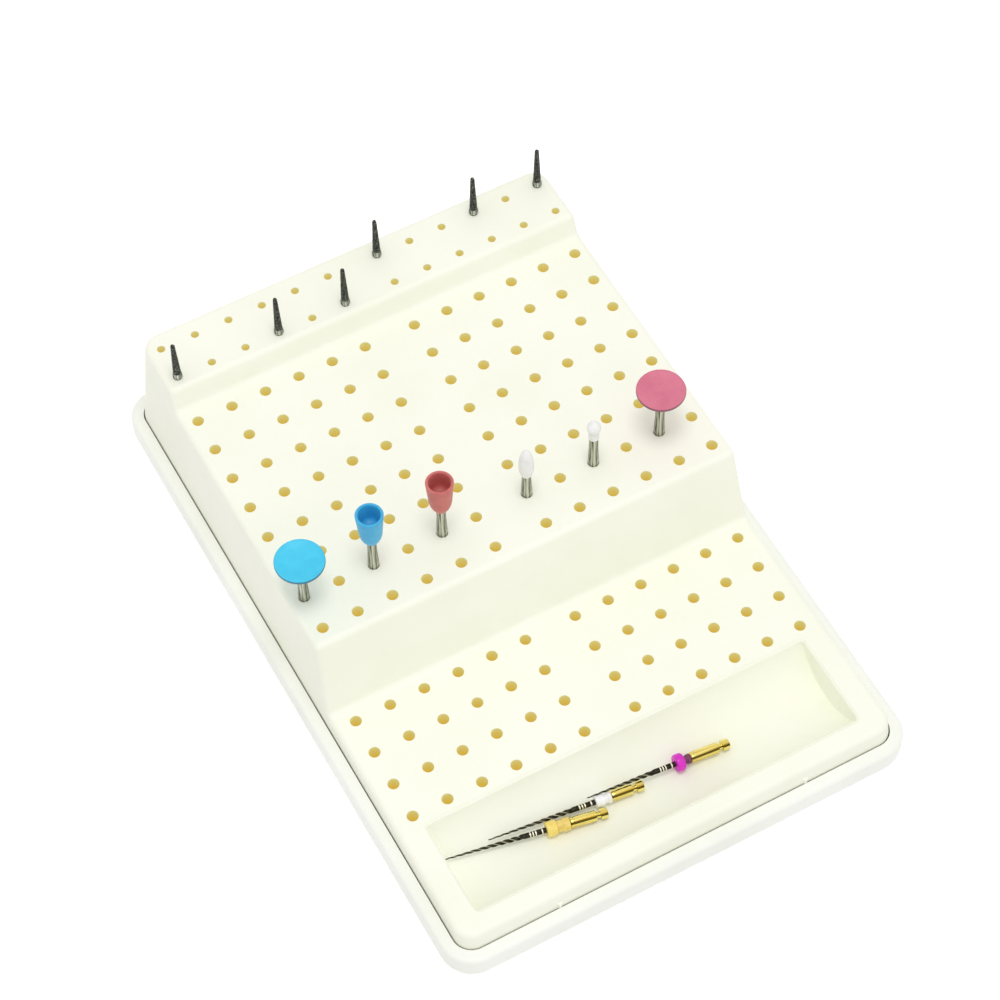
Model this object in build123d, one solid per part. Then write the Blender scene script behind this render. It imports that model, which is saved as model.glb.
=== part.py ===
from build123d import *
import math
import os

# A tiered block that holds dental burs, polishers and rotary files, in millimetres.
# The origin is the middle of the base's underside, +Z is up, +X runs along the rows and -Y is the front,
# where the trough is.

# Base tray
ledge_height = 7.4
base_corner = 7.1
base_floor = 2.0
base_lower_round = 3.0
base_upper_round = 0.9
underside_recess = 0.6
underside_rim = 9.0

# Rack body, measured at the ledge and at the top deck
rim_width = 2.8
seat_gap = 0.3
rack_corner = 4.0
side_lean = 1.6
back_lean = 4.3
front_lean = 5.5
low_deck = 11.5
middle_deck = 30.8
top_deck = 36.3
low_riser_lean = 5.1
top_riser_lean = 1.8
shell_wall = 2.0
deck_thickness = 2.2
deck_edge_round = 1.2
riser_edge_round = 1.5
riser_foot_round = 1.8

# Sockets
columns = 12
column_pitch = 8.0
middle_aisle = 4.0
row_pitch = 8.38
top_rows = 2
middle_rows = 8
low_rows = 4
side_margin = 4.8
top_back_margin = 4.4
top_front_margin = 4.72
middle_back_margin = 4.0
middle_front_margin = 3.74
low_back_margin = 3.6
low_front_margin = 2.91
latch_shank = 2.35
friction_shank = 1.6
latch_clearance = 0.075
friction_clearance = 0.1
latch_socket_depth = 13.0
friction_socket_depth = 10.0
low_socket_depth = 8.0
socket_wall = 1.2
socket_floor = 1.0

# Trough
trough_width = 22.1
trough_front_margin = 5.35
trough_end_margin = 6.1
trough_depth = 8.0
trough_wall = 1.2
trough_corner = 1.2
trough_edge_break = 0.5

# Nubs on the front and back of the rack
nub_spacing = 57.6
nub_radius = 0.6
nub_height = 2.6
nub_play = 0.04

# Polishers, with seats measured up from the deck
neck_diameter = 2.0
neck_start = 1.5
neck_taper = 4.0
disc_diameter = 10.5
disc_rim = 0.8
disc_crown = 1.2
disc_dish = 0.4
disc_hub = 3.4
blue_disc_seat = 12.0
pink_disc_seat = 13.4
cup_diameter = 5.9
cup_foot = 2.7
cup_length = 9.6
cup_wall = 0.65
cup_bore_depth = 4.6
cup_bore_taper = 0.35
cup_bore_dish = 0.8
cup_shoulder_inset = 0.5
cup_seat = 9.2
flame_diameter = 3.0
flame_length = 8.4
flame_seat = 7.1
flame_tip_radius = 0.15
flame_foot_diameter = 2.6
flame_belly = 1.6
ball_diameter = 2.9
ball_collar = 2.5
ball_collar_height = 3.0
ball_collar_chamfer = 0.25
ball_sink = 0.24
ball_seat = 8.6
shank_chamfer = 0.2
spigot_diameter = 1.3
spigot_length = 1.0
spigot_play = 0.02

# Diamond burs, with heights measured up from the deck
bur_foot_diameter = 1.75
bur_tip_diameter = 0.95
bur_collar_diameter = 2.1
bur_collar_foot = 0.3
bur_collar_height = 0.9
bur_collar_slope = 0.5
bur_chamfer = 0.15
bur_height = 11.4
bur_tall_height = 12.0

# Rotary files
file_tip_diameter = 0.3
file_root_diameter = 1.15
file_root_length = 4.4
file_flute_pitch = 5.2
file_socket_length = 2.0
file_play = 0.02
file_rest_gap = 0.03
file_flute_steps = 12
handle_chamfer = 0.25
latch_groove = 0.5
latch_groove_width = 0.9
latch_groove_place = 1.6
latch_flat_length = 3.4
latch_flat_depth = 0.55

# Worked out from the sizes above
foot_width = (columns - 1) * column_pitch + middle_aisle + 2 * side_margin
top_depth = top_back_margin + (top_rows - 1) * row_pitch + top_front_margin
middle_depth = middle_back_margin + (middle_rows - 1) * row_pitch + middle_front_margin + low_riser_lean
low_depth = low_back_margin + (low_rows - 1) * row_pitch + low_front_margin
foot_length = back_lean + top_depth + middle_depth + low_depth + trough_width + trough_front_margin
base_width = foot_width + 2 * (rim_width + seat_gap)
base_length = foot_length + 2 * (rim_width + seat_gap)
top_riser_foot = foot_length / 2 - back_lean - top_depth
low_riser_foot = top_riser_foot - middle_depth
top_back_row = foot_length / 2 - back_lean - top_back_margin
middle_back_row = top_riser_foot - middle_back_margin
low_back_row = low_riser_foot - low_back_margin
trough_centre = trough_front_margin + trough_width / 2 - foot_length / 2
trough_length = foot_width - 2 * trough_end_margin
latch_hole = latch_shank / 2 + latch_clearance
friction_hole = friction_shank / 2 + friction_clearance
trough_radius = ((trough_width / 2) ** 2 + trough_depth**2) / (2 * trough_depth)
trough_axis_height = low_deck - trough_depth + trough_radius
far = 4 * base_length
overrun = 1.0


def column_x(column):
    """Centre of a column, with the aisle between the two halves of the grid."""
    side = 1 if column >= columns // 2 else -1
    return (column - (columns - 1) / 2) * column_pitch + side * middle_aisle / 2


def row_y(back_row, row):
    """Centre of a row, counted from the back of its deck."""
    return back_row - row * row_pitch


def rounded_plate(width, length, corner, height, y=0.0):
    """A flat rounded rectangle lying at a height."""
    return Plane.XY.offset(height) * Pos(0, y) * RectangleRounded(width, length, corner)


def turned(points):
    """A solid of revolution about Z from radius and height pairs, which start and end on the axis."""
    return revolve(Plane.XZ * make_face(Polyline(*points, close=True)), Axis.Z)


def tier_block(inset, drop):
    """The side view of the decks, inset by a wall and dropped by a deck's thickness, as a long prism."""
    low_run = low_riser_lean / (middle_deck - low_deck)
    top_run = top_riser_lean / (top_deck - middle_deck)
    points = [
        (-far, -far),
        (-far, low_deck - drop),
        (low_riser_foot + inset - low_run * drop, low_deck - drop),
        (low_riser_foot + low_riser_lean + inset - low_run * drop, middle_deck - drop),
        (top_riser_foot + inset - top_run * drop, middle_deck - drop),
        (top_riser_foot + top_riser_lean + inset - top_run * drop, top_deck - drop),
        (far, top_deck - drop),
        (far, -far),
    ]
    side = Plane.YZ * make_face(Polyline(*points, close=True))
    edges = {2: riser_foot_round, 3: riser_edge_round, 4: riser_foot_round, 5: riser_edge_round}
    for index, radius in edges.items():
        y, z = points[index]
        corner = side.vertices().sort_by_distance((0, y, z))[0]
        side = fillet(corner, radius)
    return extrude(side, far, both=True, dir=(1, 0, 0))


def leaning_walls(inset):
    """The rack's four walls, upright below the ledge and leaning in above it."""
    corner = rack_corner - inset
    foot = rounded_plate(foot_width - 2 * inset, foot_length - 2 * inset, corner, ledge_height)
    head_width = foot_width - 2 * side_lean - 2 * inset
    head_length = foot_length - back_lean - front_lean - 2 * inset
    head = rounded_plate(head_width, head_length, corner, top_deck, (front_lean - back_lean) / 2)
    return loft([foot, head], ruled=True)


def rack_skin():
    """The rack's outer form with its deck edges rounded."""
    upper = leaning_walls(0) & tier_block(0, 0)
    skirt_plate = rounded_plate(foot_width, foot_length, rack_corner, base_floor)
    front, back = top_riser_foot + top_riser_lean + riser_edge_round, low_riser_foot - riser_foot_round
    deck_edges = []
    for edge in upper.edges():
        box = edge.bounding_box()
        middle = edge.center().Y
        across = box.size.X > foot_width / 2
        inner = across and back < middle < front
        standing = box.min.Z < (ledge_height + low_deck) / 2
        if not inner and not standing:
            deck_edges.append(edge)
    upper = fillet(deck_edges, deck_edge_round)
    return upper + extrude(skirt_plate, ledge_height - base_floor)


def trough_block(margin):
    """The scooped form of the trough, grown by a wall's thickness."""
    length = trough_length + 2 * margin
    scoop = Rot(0, 90, 0) * Cylinder(trough_radius + margin, length)
    return Pos(0, trough_centre, trough_axis_height) * scoop


def socket_rows():
    """Each row as its back-to-front place, deck height, hole radius and depth."""
    rows = [(row_y(top_back_row, r), top_deck, friction_hole, friction_socket_depth) for r in range(top_rows)]
    rows += [(row_y(middle_back_row, r), middle_deck, latch_hole, latch_socket_depth) for r in range(middle_rows)]
    rows += [(row_y(low_back_row, r), low_deck, latch_hole, low_socket_depth) for r in range(low_rows)]
    return rows


def row_rib(y, deck, hole, depth):
    """The bar under one row that its blind sockets are bored in."""
    height = depth + socket_floor
    bar = Box(foot_width - 2 * side_lean, 2 * (hole + socket_wall), height)
    return Pos(0, y, deck - height / 2) * bar


def row_bores(y, deck, hole, depth):
    """The blind bores of one row."""
    bores = []
    for column in range(columns):
        height = depth + overrun
        bores.append(Pos(column_x(column), y, deck - depth + height / 2) * Cylinder(hole, height))
    return bores


def nub():
    """A small upright bead that centres the rack in its tray."""
    return Cylinder(nub_radius, nub_height)


def trough_bevel():
    """The bevelled rim where the trough opens on the low deck."""
    grow = 2 * trough_edge_break
    inner = rounded_plate(
        trough_length, trough_width, trough_corner, low_deck - trough_edge_break, trough_centre
    )
    outer = rounded_plate(
        trough_length + grow, trough_width + grow, trough_corner + trough_edge_break, low_deck, trough_centre
    )
    return loft([inner, outer], ruled=True)


def bur_rack():
    """The tiered moulding with its sockets, trough and nubs."""
    skin = rack_skin()
    hollow = leaning_walls(shell_wall) & tier_block(shell_wall, deck_thickness)
    skirt_hollow = rounded_plate(
        foot_width - 2 * shell_wall, foot_length - 2 * shell_wall, rack_corner - shell_wall, base_floor
    )
    hollow += extrude(skirt_hollow, ledge_height - base_floor)
    ribs = [row_rib(*row) for row in socket_rows()]
    hollow = hollow - trough_block(trough_wall) - ribs
    body = skin - hollow
    nub_y = foot_length / 2 + seat_gap - nub_play - nub_radius
    for side in (-1, 1):
        for end in (-1, 1):
            body += Pos(side * nub_spacing / 2, end * nub_y, ledge_height) * nub()
    mouth = rounded_plate(trough_length, trough_width, trough_corner, low_deck - trough_depth - overrun, trough_centre)
    body -= (trough_block(0) & extrude(mouth, 2 * trough_depth)) + trough_bevel()
    bores = []
    for row in socket_rows():
        bores += row_bores(*row)
    return body - bores


def base_tray():
    """The shallow tray whose rim is the ledge round the rack."""
    outer = extrude(rounded_plate(base_width, base_length, base_corner, 0), ledge_height)
    outer = fillet(outer.faces().sort_by(Axis.Z)[0].outer_wire().edges(), base_lower_round)
    outer = fillet(outer.faces().sort_by(Axis.Z)[-1].outer_wire().edges(), base_upper_round)
    pocket = rounded_plate(
        foot_width + 2 * seat_gap, foot_length + 2 * seat_gap, rack_corner + seat_gap, base_floor
    )
    panel = rounded_plate(
        base_width - 2 * underside_rim, base_length - 2 * underside_rim, rack_corner, 0
    )
    return outer - extrude(pocket, ledge_height) - extrude(panel, underside_recess)


def latch_end(shank_diameter):
    """What is cut from the end of a latch shank at the origin: a ring groove and a flat."""
    radius = shank_diameter / 2
    groove = Cylinder(radius + overrun, latch_groove_width) - Cylinder(radius - latch_groove, latch_groove_width)
    groove = Pos(0, 0, latch_groove_place + latch_groove_width / 2) * groove
    flat = Box(shank_diameter, 2 * shank_diameter, 2 * latch_flat_length)
    return groove + Pos(shank_diameter - latch_flat_depth, 0, 0) * flat


def mandrel(seat):
    """A latch mandrel standing on the floor of its socket, with a spigot for the head that sits on it."""
    radius = latch_shank / 2
    neck = neck_diameter / 2
    spigot = spigot_diameter / 2
    bottom = -latch_socket_depth
    body = turned(
        [
            (0, bottom),
            (radius - shank_chamfer, bottom),
            (radius, bottom + shank_chamfer),
            (radius, neck_start),
            (neck, neck_start + neck_taper),
            (neck, seat),
            (spigot, seat),
            (spigot, seat + spigot_length),
            (0, seat + spigot_length),
        ]
    )
    return body - Pos(0, 0, bottom) * latch_end(latch_shank)


def spigot_hole(seat):
    """The blind hole in a head that takes the mandrel's spigot."""
    height = spigot_length + spigot_play
    return Pos(0, 0, seat + height / 2) * Cylinder(spigot_diameter / 2 + spigot_play, height)


def dish_arc(radius, height, depth):
    """Half of a shallow dish's section, from its lip to its lowest point on the axis."""
    sphere = (radius**2 + depth**2) / (2 * depth)
    half = math.asin(radius / sphere) / 2
    middle = (sphere * math.sin(half), height - depth + sphere * (1 - math.cos(half)))
    return ThreePointArc((radius, height), middle, (0, height - depth))


def polishing_disc(seat):
    """A dished rubber disc with a thin rim and a short hub."""
    rim = disc_diameter / 2
    hub = disc_hub / 2
    top = seat + disc_crown + disc_rim
    lower = Polyline((0, seat), (hub, seat), (rim, top - disc_rim), (rim, top))
    dish = dish_arc(rim, top, disc_dish)
    axis = Line((0, top - disc_dish), (0, seat))
    disc = revolve(Plane.XZ * make_face(Curve() + [lower, dish, axis]), Axis.Z)
    return disc - spigot_hole(seat)


def polishing_cup(seat):
    """A rubber cup that widens from its foot to a thin lip."""
    lip = cup_diameter / 2
    foot = cup_foot / 2
    shoulder = (lip - cup_shoulder_inset, seat + cup_length * 0.3)
    swell = (foot + (shoulder[0] - foot) * 0.65, seat + cup_length * 0.11)
    top = seat + cup_length
    floor = top - cup_bore_depth
    bore_foot = (lip - cup_wall - cup_bore_taper, floor + cup_bore_dish)
    outline = Curve() + [
        Line((0, seat), (foot, seat)),
        ThreePointArc((foot, seat), swell, shoulder),
        Polyline(shoulder, (lip, top), (lip - cup_wall, top), bore_foot),
        dish_arc(*bore_foot, cup_bore_dish),
        Line((0, floor), (0, seat)),
    ]
    return revolve(Plane.XZ * make_face(outline), Axis.Z) - spigot_hole(seat)


def flame_stone(seat):
    """A slender stone that swells and runs to a point."""
    wide = flame_diameter / 2
    tip = seat + flame_length
    belly = seat + flame_belly
    waist = (wide * 0.76, seat + flame_length * 0.66)
    outline = Curve() + [
        Polyline((flame_tip_radius, tip), (0, tip), (0, seat), (flame_foot_diameter / 2, seat), (wide, belly)),
        ThreePointArc((wide, belly), waist, (flame_tip_radius, tip)),
    ]
    return revolve(Plane.XZ * make_face(outline), Axis.Z) - spigot_hole(seat)


def ball_stone(seat):
    """A round stone on a short collar."""
    collar = ball_collar / 2
    shoulder = seat + ball_collar_height
    ball = Pos(0, 0, shoulder + ball_diameter / 2 - ball_sink) * Sphere(ball_diameter / 2)
    outline = [
        (0, seat),
        (collar - ball_collar_chamfer, seat),
        (collar, seat + ball_collar_chamfer),
        (collar, shoulder - ball_collar_chamfer),
        (collar - ball_collar_chamfer, shoulder),
        (0, shoulder),
    ]
    return ball + turned(outline) - spigot_hole(seat)


def diamond_bur(height):
    """A friction-grip bur standing on the floor of its socket, with a tapered head and a rounded tip."""
    shank = friction_shank / 2
    foot = bur_foot_diameter / 2
    tip = bur_tip_diameter / 2
    collar = bur_collar_diameter / 2
    bottom = -friction_socket_depth
    collar_top = bur_collar_foot + bur_collar_height
    side = Polyline(
        (0, bottom),
        (shank - bur_chamfer, bottom),
        (shank, bottom + bur_chamfer),
        (shank, bur_collar_foot),
        (collar - bur_chamfer, bur_collar_foot),
        (collar, bur_collar_foot + bur_chamfer),
        (collar, collar_top),
        (foot, collar_top + bur_collar_slope),
        (tip, height - tip),
    )
    half = tip * math.sqrt(0.5)
    nose = ThreePointArc((tip, height - tip), (half, height - tip + half), (0, height))
    outline = Curve() + [side, nose, Line((0, height), (0, bottom))]
    return revolve(Plane.XZ * make_face(outline), Axis.Z)


def file_blade(length, neck):
    """A three-edged blade twisted up the Z axis from its tip, on a round root that runs into the handle."""
    fluted = length - file_root_length
    turns = fluted / file_flute_pitch
    steps = math.ceil(turns * file_flute_steps)
    sections = []
    for step in range(steps + 1):
        share = step / steps
        radius = (file_tip_diameter + (file_root_diameter - file_tip_diameter) * share) / 2
        edges = RegularPolygon(radius, 3, rotation=360 * turns * share)
        sections.append(Plane.XY.offset(fluted * share) * edges)
    root_length = file_root_length + neck + file_socket_length
    root = Pos(0, 0, fluted + root_length / 2) * Cylinder(file_root_diameter / 2, root_length)
    return loft(sections, ruled=True) + root


def file_collar(start, diameter, length):
    """A ring that the blade's root passes through, with rounded edges."""
    ring = Cylinder(diameter / 2, length)
    ring = fillet(ring.edges().filter_by(GeomType.CIRCLE), length * 0.2)
    ring -= Cylinder(file_root_diameter / 2 + file_play, length)
    return Pos(0, 0, start + length / 2) * ring


def file_handle(start, length):
    """A gilt latch handle, bored for the blade's root at its lower end."""
    radius = latch_shank / 2
    body = turned(
        [
            (0, start),
            (radius - handle_chamfer, start),
            (radius, start + handle_chamfer),
            (radius, start + length - shank_chamfer),
            (radius - shank_chamfer, start + length),
            (0, start + length),
        ]
    )
    socket = Cylinder(file_root_diameter / 2 + file_play, 2 * (file_socket_length + file_play))
    latch = Pos(0, 0, start + length) * Rot(180, 0, 0) * latch_end(latch_shank)
    return body - Pos(0, 0, start) * socket - latch


def trough_height(y, radius):
    """Height of the centre of something round that rests on the trough's surface at a place across it."""
    reach = trough_radius - radius - file_rest_gap
    return trough_axis_height - math.sqrt(reach**2 - (y - trough_centre) ** 2)


def lying_file(lay, blade, stopper, band, handle):
    """The pieces of one file, laid in the trough on its stopper and the end of its handle.

    lay is the stopper's place along and across the trough and the heading of the handle in degrees. stopper and
    band are each a diameter and a length.
    """
    x, across, heading = lay
    y = trough_centre + across
    stopper_start = blade
    band_start = stopper_start + stopper[1]
    handle_start = band_start + band[1]
    reach = stopper[1] / 2 + band[1] + handle
    end_y = y + reach * math.sin(math.radians(heading))
    rise = trough_height(end_y, latch_shank / 2) - trough_height(y, stopper[0] / 2)
    climb = math.degrees(math.asin(rise / reach))
    middle = Location((x, y, trough_height(y, stopper[0] / 2)))
    place = middle * Rot(0, 0, heading) * Rot(0, 90 - climb, 0) * Pos(0, 0, -stopper_start - stopper[1] / 2)
    pieces = {
        "blade": file_blade(blade, stopper[1] + band[1]),
        "stopper": file_collar(stopper_start, *stopper),
        "band": file_collar(band_start, *band),
        "handle": file_handle(handle_start, handle),
    }
    return {name: place * piece for name, piece in pieces.items()}


# Where the burs stand: column, row and height
burs = [
    (0, 1, bur_height),
    (3, 1, bur_tall_height),
    (5, 1, bur_tall_height),
    (6, 0, bur_tall_height),
    (9, 0, bur_tall_height),
    (11, 0, bur_tall_height),
]

# Polishers by name: column, row, seat and the function that makes the head
polishers = {
    "blue_disc": (0, 6, blue_disc_seat, polishing_disc),
    "blue_cup": (2, 6, cup_seat, polishing_cup),
    "terracotta_cup": (4, 6, cup_seat, polishing_cup),
    "flame_stone": (6, 6, flame_seat, flame_stone),
    "ball_stone": (8, 6, ball_seat, ball_stone),
    "pink_disc": (10, 6, pink_disc_seat, polishing_disc),
}

# Files by colour: lay, blade length, stopper, band and handle length
files = {
    "magenta": ((9.1, 1.0, -3.8), 20.2, (3.8, 1.8), (2.2, 1.7), 8.9),
    "white": ((-9.6, 1.5, -6.2), 23.6, (3.0, 1.9), (2.6, 1.6), 7.3),
    "yellow": ((-21.3, 0.65, -10.2), 22.4, (3.3, 2.2), (2.9, 2.8), 8.2),
}


def contents():
    """Every bur, polisher and file by name, in its place."""
    pieces = {}
    for number, (column, row, height) in enumerate(burs, start=1):
        place = Pos(column_x(column), row_y(top_back_row, row), top_deck)
        pieces[f"diamond_bur_{number}"] = place * diamond_bur(height)
    for name, (column, row, seat, head) in polishers.items():
        place = Pos(column_x(column), row_y(middle_back_row, row), middle_deck)
        pieces[f"{name}_mandrel"] = place * mandrel(seat)
        pieces[f"{name}_head"] = place * head(seat)
    for colour, layout in files.items():
        for name, piece in lying_file(*layout).items():
            pieces[f"{colour}_file_{name}"] = piece
    return pieces


os.makedirs("parts", exist_ok=True)
solids = {"bur_rack": bur_rack(), "base_tray": base_tray(), **contents()}
for name, solid in solids.items():
    export_step(solid, f"parts/{name}.step")
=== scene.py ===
"""Looks for a tiered dental bur block with its burs, polishers and rotary files.

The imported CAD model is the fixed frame. The rack and its tray keep their CAD meshes and get a
moulded plastic finish. Everything that stands or lies in them is rebuilt in finer detail, in the
same place: burs with a crust of grit, polishers with rubber or stone heads on ground mandrels,
and files with fluted blades, silicone stoppers, colour bands and gilt latch handles.

The classes hold their sizes in millimetres, and a mesh is scaled to metres when it is placed.
A latch shank ends in a flat of LATCH_LENGTH, which is cut LATCH_CUT deep.
"""

import logging
import math
from collections.abc import Iterable
from dataclasses import dataclass
from enum import Enum
from functools import cache
from typing import Any, ClassVar

import bmesh
import bpy
from mathutils import Matrix, Vector


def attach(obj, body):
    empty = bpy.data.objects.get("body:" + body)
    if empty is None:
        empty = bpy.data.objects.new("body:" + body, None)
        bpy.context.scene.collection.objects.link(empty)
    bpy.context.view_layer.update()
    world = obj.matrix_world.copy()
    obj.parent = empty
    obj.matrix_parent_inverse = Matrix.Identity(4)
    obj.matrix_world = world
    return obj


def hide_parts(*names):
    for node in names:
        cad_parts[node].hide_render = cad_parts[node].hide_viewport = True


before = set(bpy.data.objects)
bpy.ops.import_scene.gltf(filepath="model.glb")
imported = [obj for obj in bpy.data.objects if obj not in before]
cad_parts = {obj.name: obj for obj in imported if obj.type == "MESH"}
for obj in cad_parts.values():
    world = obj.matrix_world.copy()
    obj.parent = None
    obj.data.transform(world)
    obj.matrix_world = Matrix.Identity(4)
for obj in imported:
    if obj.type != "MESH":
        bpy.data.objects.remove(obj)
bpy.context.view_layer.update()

LOG = logging.getLogger("bur_block")
MM = 0.001
ROOT = "root"
SHARP = math.radians(40)
LATCH_LENGTH = 3.41
LATCH_CUT = 0.55

Rgb = tuple[float, float, float]
Point = tuple[float, float]
Socket = bpy.types.NodeSocket


def tone(red: int, green: int, blue: int) -> Rgb:
    """Turn a colour as seen on a screen into the linear values a shader wants.

    Args:
        red: Red from 0 to 255.
        green: Green from 0 to 255.
        blue: Blue from 0 to 255.

    Returns:
        The three linear values.
    """

    def linear(level: int) -> float:
        """Undo the screen's curve for one channel."""
        share = level / 255
        return share / 12.92 if share <= 0.04045 else ((share + 0.055) / 1.055) ** 2.4

    return (linear(red), linear(green), linear(blue))


def solid(colour: Rgb) -> tuple[float, float, float, float]:
    """Give a colour its alpha of one."""
    return (*colour, 1.0)


@dataclass
class Wiring:
    """Adds nodes to one tree and links them.

    Attributes:
        tree: A shader or geometry node tree.
    """

    tree: bpy.types.NodeTree

    def add(self, kind: str, feeds: dict[Any, Any] | None = None, **settings: Any) -> bpy.types.Node:
        """Add a node, set its properties and feed its inputs.

        Args:
            kind: The node's type name.
            feeds: Input names or numbers, each with a socket to link or a plain value.
            **settings: Property names and their values.

        Returns:
            The new node.
        """
        node = self.tree.nodes.new(kind)
        node.location = (200 * (len(self.tree.nodes) % 12), -220 * (len(self.tree.nodes) // 12))
        for name, value in settings.items():
            setattr(node, name, value)
        for key, value in (feeds or {}).items():
            self.feed(node.inputs[key], value)
        return node

    def result(self, kind: str, feeds: dict[Any, Any] | None = None, **settings: Any) -> Socket:
        """Add a node as add does, and give its first output."""
        return self.add(kind, feeds, **settings).outputs[0]

    def feed(self, target: Socket, value: Any) -> None:
        """Link a socket to an input, or set the input to a plain value.

        Args:
            target: The input.
            value: A socket, a number, a colour or a vector.
        """
        if isinstance(value, bpy.types.NodeSocket):
            self.tree.links.new(value, target)
        else:
            target.default_value = value

    def math(self, operation: str, *values: Any) -> Socket:
        """Work out one number from others.

        Args:
            operation: The Math node's operation.
            *values: Sockets or numbers.

        Returns:
            The result's socket.
        """
        return self.result("ShaderNodeMath", dict(enumerate(values)), operation=operation)

    def times(self, first: Any, *others: Any) -> Socket:
        """Multiply numbers, from left to right."""
        for other in others:
            first = self.math("MULTIPLY", first, other)
        return first

    def spread(self, value: Any, low: float, high: float, to_low: Any = 0.0, to_high: Any = 1.0) -> Socket:
        """Map a number from one range to another and clamp it.

        Args:
            value: The number to map.
            low: The start of its range.
            high: The end of its range.
            to_low: What the start becomes.
            to_high: What the end becomes.

        Returns:
            The mapped number's socket.
        """
        return self.result("ShaderNodeMapRange", dict(enumerate((value, low, high, to_low, to_high))))

    def blend(self, share: Any, first: Any, second: Any) -> Socket:
        """Mix two colours.

        Args:
            share: How much of the second.
            first: A colour or its socket.
            second: A colour or its socket.

        Returns:
            The mixed colour's socket.
        """
        return self.add("ShaderNodeMix", {0: share, 6: first, 7: second}, data_type="RGBA").outputs[2]

    def noise(self, where: Socket, scale: Any, detail: float, roughness: float = 0.5) -> Socket:
        """How strong a noise is at a place.

        Args:
            where: The place.
            scale: How fine the noise is.
            detail: How many finer layers it has.
            roughness: How strong the finer layers are.

        Returns:
            The strength's socket.
        """
        feeds = {"Vector": where, "Scale": scale, "Detail": detail, "Roughness": roughness}
        return self.result("ShaderNodeTexNoise", feeds)

    def stored(self, name: str, output: str = "Fac") -> Socket:
        """What a mesh carries on its points under a name."""
        return self.add("ShaderNodeAttribute", attribute_name=name).outputs[output]

    def parts(self, vector: Socket) -> list[Socket]:
        """Split a vector into its three numbers."""
        return list(self.add("ShaderNodeSeparateXYZ", {0: vector}).outputs)

    def vector(self, x: Any, y: Any, z: Any) -> Socket:
        """Join three numbers into a vector."""
        return self.result("ShaderNodeCombineXYZ", {0: x, 1: y, 2: z})


class Group(Wiring):
    """A node group with named inputs and outputs."""

    def __init__(self, name: str, kind: str) -> None:
        """Make the empty group.

        Args:
            name: The group's name.
            kind: Shader or Geometry.
        """
        super().__init__(bpy.data.node_groups.new(name, kind + "NodeTree"))
        self.entry = self.tree.nodes.new("NodeGroupInput")
        self.exit = self.tree.nodes.new("NodeGroupOutput")
        self.names: dict[str, str] = {}

    def ask(self, *names: str, kind: str = "Float") -> list[Socket]:
        """Add named inputs of one kind.

        Args:
            *names: The inputs' names.
            kind: The kind of socket.

        Returns:
            The sockets to read inside the group.
        """
        for name in names:
            made = self.tree.interface.new_socket(name, in_out="INPUT", socket_type="NodeSocket" + kind)
            self.names[name] = made.identifier
        return [self.entry.outputs[name] for name in names]

    def give(self, name: str, value: Socket, kind: str = "Float") -> None:
        """Add a named output and feed it.

        Args:
            name: The output's name.
            value: The socket that it puts out.
            kind: The kind of socket.
        """
        self.tree.interface.new_socket(name, in_out="OUTPUT", socket_type="NodeSocket" + kind)
        self.feed(self.exit.inputs[name], value)


class Effect(Enum):
    """The effects that finishes are made of."""

    MOTTLE = "soft_mottle"
    PEEL = "moulded_peel"
    STREAKS = "grinding_and_reflection_streaks"
    STRIPE = "painted_reflection_band"
    RINGS = "turned_rings"
    GRAINS = "packed_grains"
    SOCKETS = "socket_depth"


@dataclass(frozen=True)
class Deck:
    """One level of the rack and the sockets in it, in millimetres.

    Attributes:
        height: The deck's height above the floor.
        back_row: The place of its rearmost row.
        hole: The sockets' radius.
        front: Where the deck ends towards the front.
        back: Where the deck ends towards the back.
    """

    height: float
    back_row: float
    hole: float
    front: float
    back: float


@dataclass(frozen=True)
class SocketGrid:
    """The rack's grid of sockets, in millimetres."""

    pitch: float = 8.0
    aisle: float = 4.0
    row_pitch: float = 8.38
    columns: int = 12
    top: Deck = Deck(36.3, 67.5, 0.9, 55.3, 69.6)
    middle: Deck = Deck(30.8, 50.4, 1.25, -14.6, 55.3)
    low: Deck = Deck(11.5, -20.7, 1.25, -47.3, -14.6)

    def column(self, index: int) -> float:
        """Centre of a column, with the aisle between the two halves."""
        side = 1 if index >= self.columns // 2 else -1
        return (index - (self.columns - 1) / 2) * self.pitch + side * self.aisle / 2

    def place(self, deck: Deck, column: int, row: int) -> Matrix:
        """Stand a frame on a deck at one socket.

        Args:
            deck: The level.
            column: The column, counted from the left.
            row: The row, counted from the back.

        Returns:
            The place, in millimetres.
        """
        return Matrix.Translation((self.column(column), deck.back_row - row * self.row_pitch, deck.height))


GRID = SocketGrid()


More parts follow.
